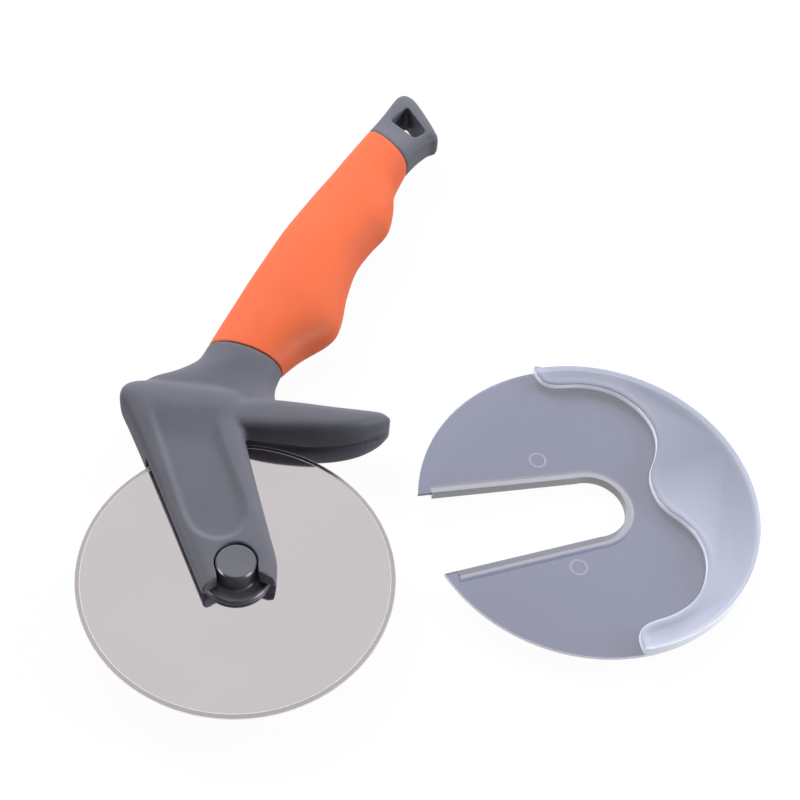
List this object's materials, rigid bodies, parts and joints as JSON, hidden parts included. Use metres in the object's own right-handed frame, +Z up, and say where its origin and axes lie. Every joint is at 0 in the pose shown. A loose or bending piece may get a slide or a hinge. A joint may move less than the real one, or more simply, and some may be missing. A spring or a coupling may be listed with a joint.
{
  "type": "pizza cutter wheel",
  "caption": "Pizza cutter with a snap-in steel wheel in a moulded fork with a finger guard, a soft grip with finger swells and a hanging hole, beside its slip-on blade cover.",
  "frame": {"origin": "under the middle of the box round the cutter and its cover, at the height of the surface that they lie on", "axes": "+X from the cutter towards the cover, +Y from the wheel along the handle, +Z up, along the wheel's axis"},
  "size_m": [0.2174, 0.2638, 0.0227],
  "materials": {
    "handle_plastic": "fine matte moulded, dark grey",
    "soft_grip": "soft matte, orange",
    "blade_steel": "fine polished, with a ground edge",
    "hub_plastic": "fine matte moulded, dark grey",
    "cover_plastic": "translucent, frosted, cool grey"
  },
  "bodies": {
    "handle": {"frame": "handle_plastic", "grip": "soft_grip"},
    "hub": {"hub_front": "hub_plastic", "hub_back": "hub_plastic"},
    "wheel": {"blade": "blade_steel"},
    "cover": {"blade_cover": "cover_plastic"}
  },
  "joints": [
    {"name": "wheel_release", "type": "slide", "parent": "handle", "child": "hub", "axis": [0.2504, -0.9681, 0], "range_m": [0, 0.06]},
    {"name": "wheel_spin", "type": "hinge", "parent": "hub", "child": "wheel", "pos_m": [-0.05867, -0.08193, 0.01134], "axis": [0, 0, 1], "continuous": true},
    {"name": "cover_slide", "type": "slide", "parent": "handle", "child": "cover", "axis": [0.9379, 0.3469, 0], "range_m": [0, 0.08]}
  ]
}
